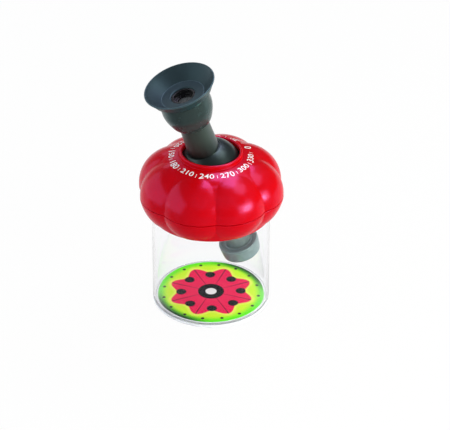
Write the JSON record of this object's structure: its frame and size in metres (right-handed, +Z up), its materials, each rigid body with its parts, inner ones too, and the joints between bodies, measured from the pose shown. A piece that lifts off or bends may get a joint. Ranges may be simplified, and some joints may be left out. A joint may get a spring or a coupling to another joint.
{
  "type": "bug catcher jar",
  "caption": "Clear jar with a scalloped red lid that carries a ball-jointed viewing tube with a soft eyecup, a sliding focus and an objective inside the jar.",
  "frame": {"origin": "centre of the jar's foot, on the surface that the jar stands on", "axes": "+Z up along the jar's axis; the viewing tube leans from it towards -X"},
  "size_m": [0.0996, 0.0996, 0.1776],
  "materials": {
    "jar_clear": "clear moulded plastic",
    "print_disc": "printed",
    "lid_red": "gloss",
    "seal_rubber": "matte",
    "screw_steel": "plain",
    "socket_dark": "satin",
    "slip_black": "satin",
    "ball_grey": "satin",
    "barrel_grey": "satin",
    "eyepiece_grey": "satin",
    "eyecup_rubber": "soft matte",
    "cell_black": "matte",
    "lens_clear": "polished",
    "objective_grey": "satin"
  },
  "bodies": {
    "jar_body": {"jar": "jar_clear", "floor_print": "print_disc"},
    "lid": {"lid_dome": "lid_red", "lid_skirt": "lid_red", "seal_ring": "seal_rubber", "lid_screws": "screw_steel", "socket_seat": "socket_dark", "socket_cap": "socket_dark"},
    "swivel": {"slip_ring": "slip_black"},
    "ball": {"ball_neck": "ball_grey", "ball_base": "ball_grey", "focus_ring": "seal_rubber"},
    "tube": {"barrel": "barrel_grey", "eyepiece_body": "eyepiece_grey", "eyecup": "eyecup_rubber", "lens_cell": "cell_black", "eye_lens": "lens_clear", "lens_spacer": "cell_black", "field_lens": "lens_clear", "field_stop": "cell_black", "objective_cap": "objective_grey", "objective_lens": "lens_clear", "objective_ring": "objective_grey"}
  },
  "joints": [
    {"name": "lid_lift", "type": "slide", "parent": "jar_body", "child": "lid", "axis": [0, 0, 1], "range_m": [0, 0.07]},
    {"name": "ball_turn", "type": "hinge", "parent": "lid", "child": "swivel", "pos_m": [0, 0, 0.102], "axis": [0, 0, 1], "continuous": true},
    {"name": "ball_tilt", "type": "hinge", "parent": "swivel", "child": "ball", "pos_m": [0, 0, 0.102], "axis": [0, 1, 0], "range_deg": [-0.2, 37]},
    {"name": "focus_slide", "type": "slide", "parent": "ball", "child": "tube", "axis": [-0.3156, 0, 0.9489], "range_m": [-0.0015, 0.005]}
  ]
}
